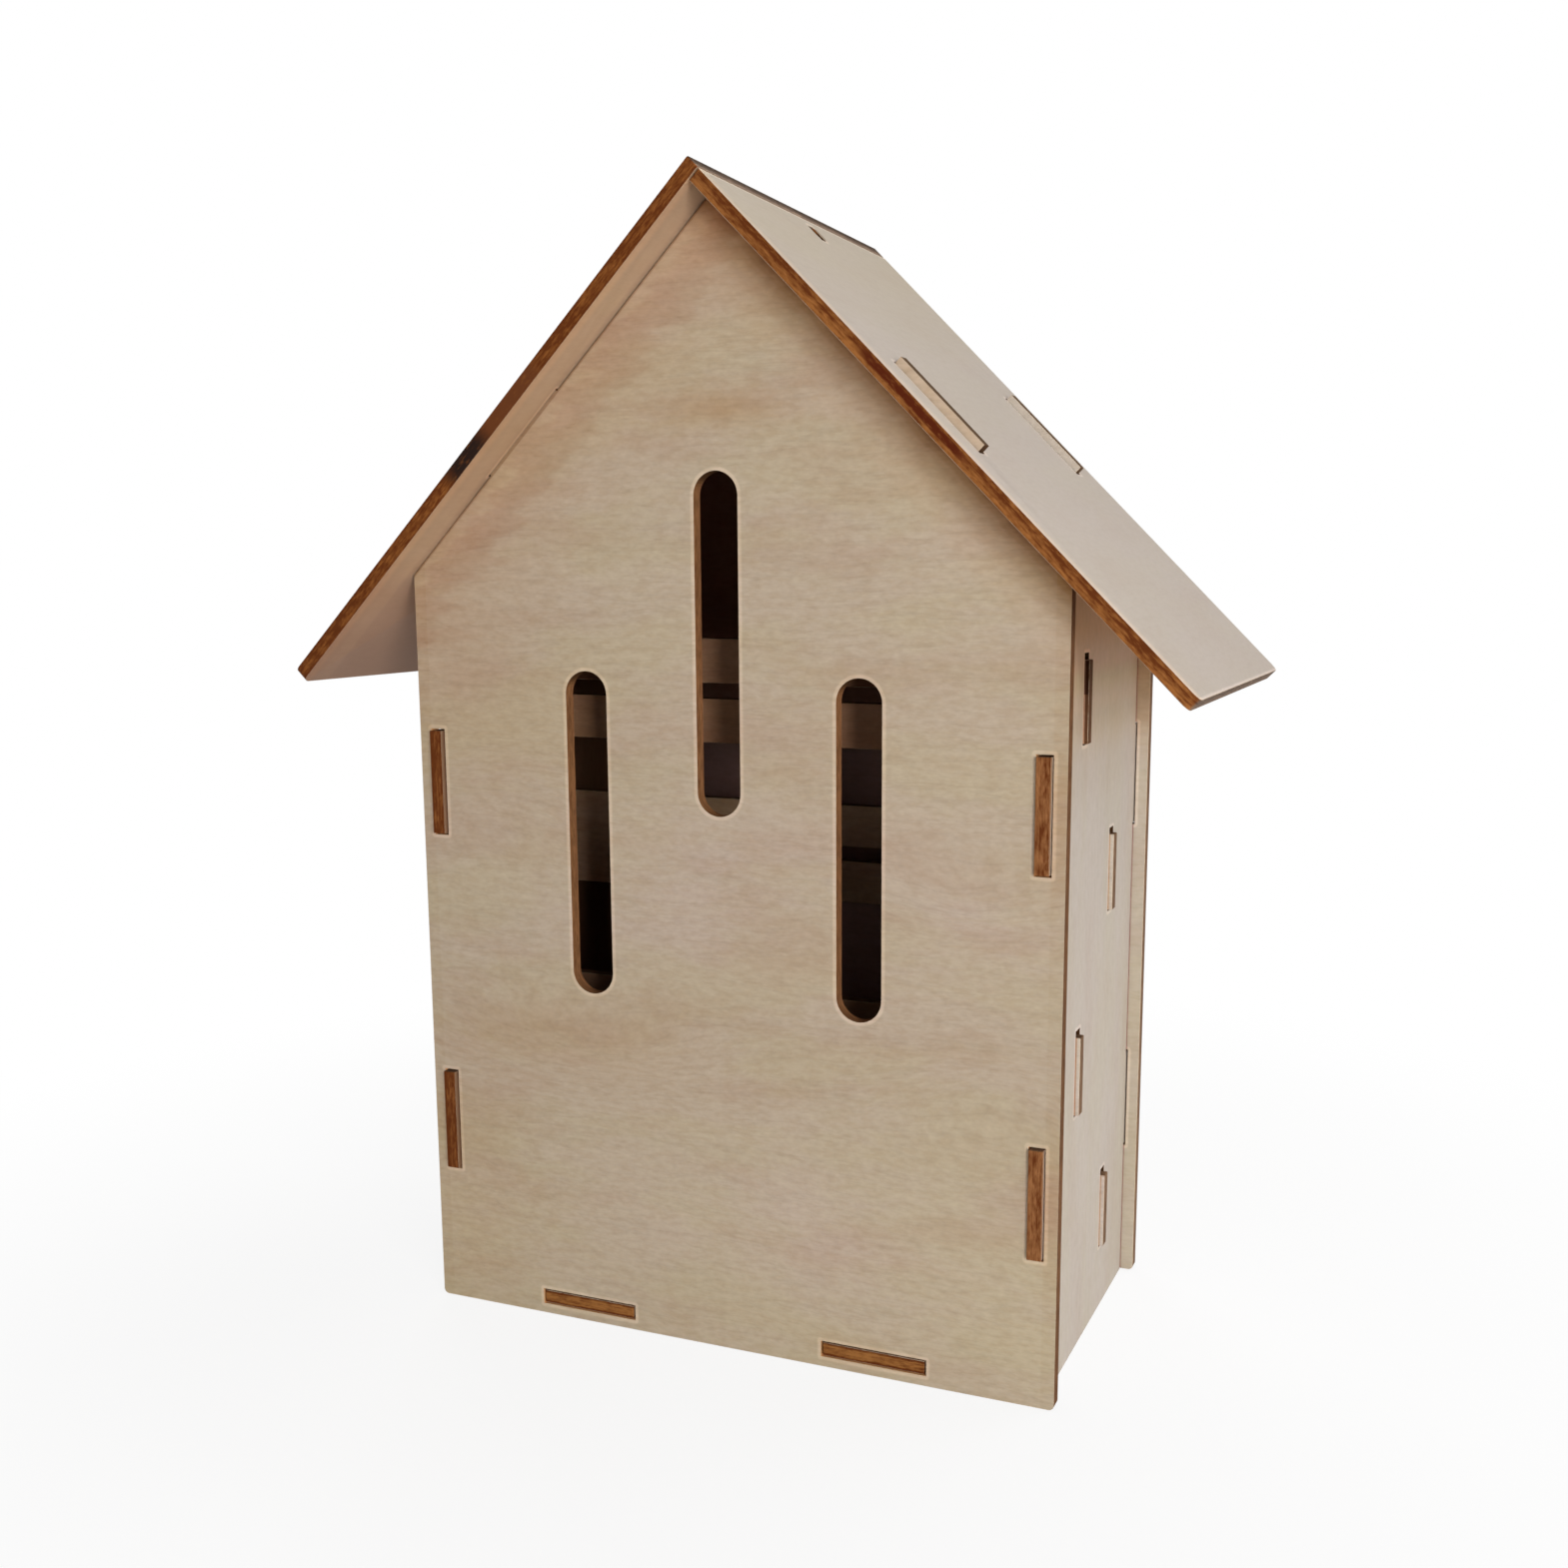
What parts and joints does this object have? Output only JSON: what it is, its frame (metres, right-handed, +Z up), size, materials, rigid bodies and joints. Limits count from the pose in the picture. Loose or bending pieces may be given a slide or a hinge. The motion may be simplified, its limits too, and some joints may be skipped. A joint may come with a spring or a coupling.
{
  "type": "bat box",
  "caption": "Small gabled wooden roost box of plug-together plywood sheets, with upright entry slots in the front and slats inside.",
  "frame": {"origin": "on the ground, under the middle of the roof's outline", "axes": "+Z up, -Y out of the front with the entry slots, +X to the right of someone facing the front"},
  "size_m": [0.2027, 0.1004, 0.2493],
  "materials": {
    "gable_ply": "raw sanded plywood, fine level grain, laser-burnt edges",
    "wall_ply": "raw sanded plywood, fine upright grain, laser-burnt edges",
    "floor_ply": "raw sanded plywood, laser-burnt edges",
    "slat_ply": "raw sanded plywood, laser-burnt edges",
    "roof_ply": "raw sanded plywood, pale, laser-burnt edges"
  },
  "bodies": {
    "root": {"front_panel": "gable_ply", "back_panel": "gable_ply", "left_side_panel": "wall_ply", "right_side_panel": "wall_ply", "floor_panel": "floor_ply", "upper_front_slat": "slat_ply", "upper_rear_slat": "slat_ply", "lower_front_slat": "slat_ply", "lower_rear_slat": "slat_ply", "right_roof_panel": "roof_ply", "left_roof_panel": "roof_ply"}
  },
  "joints": []
}
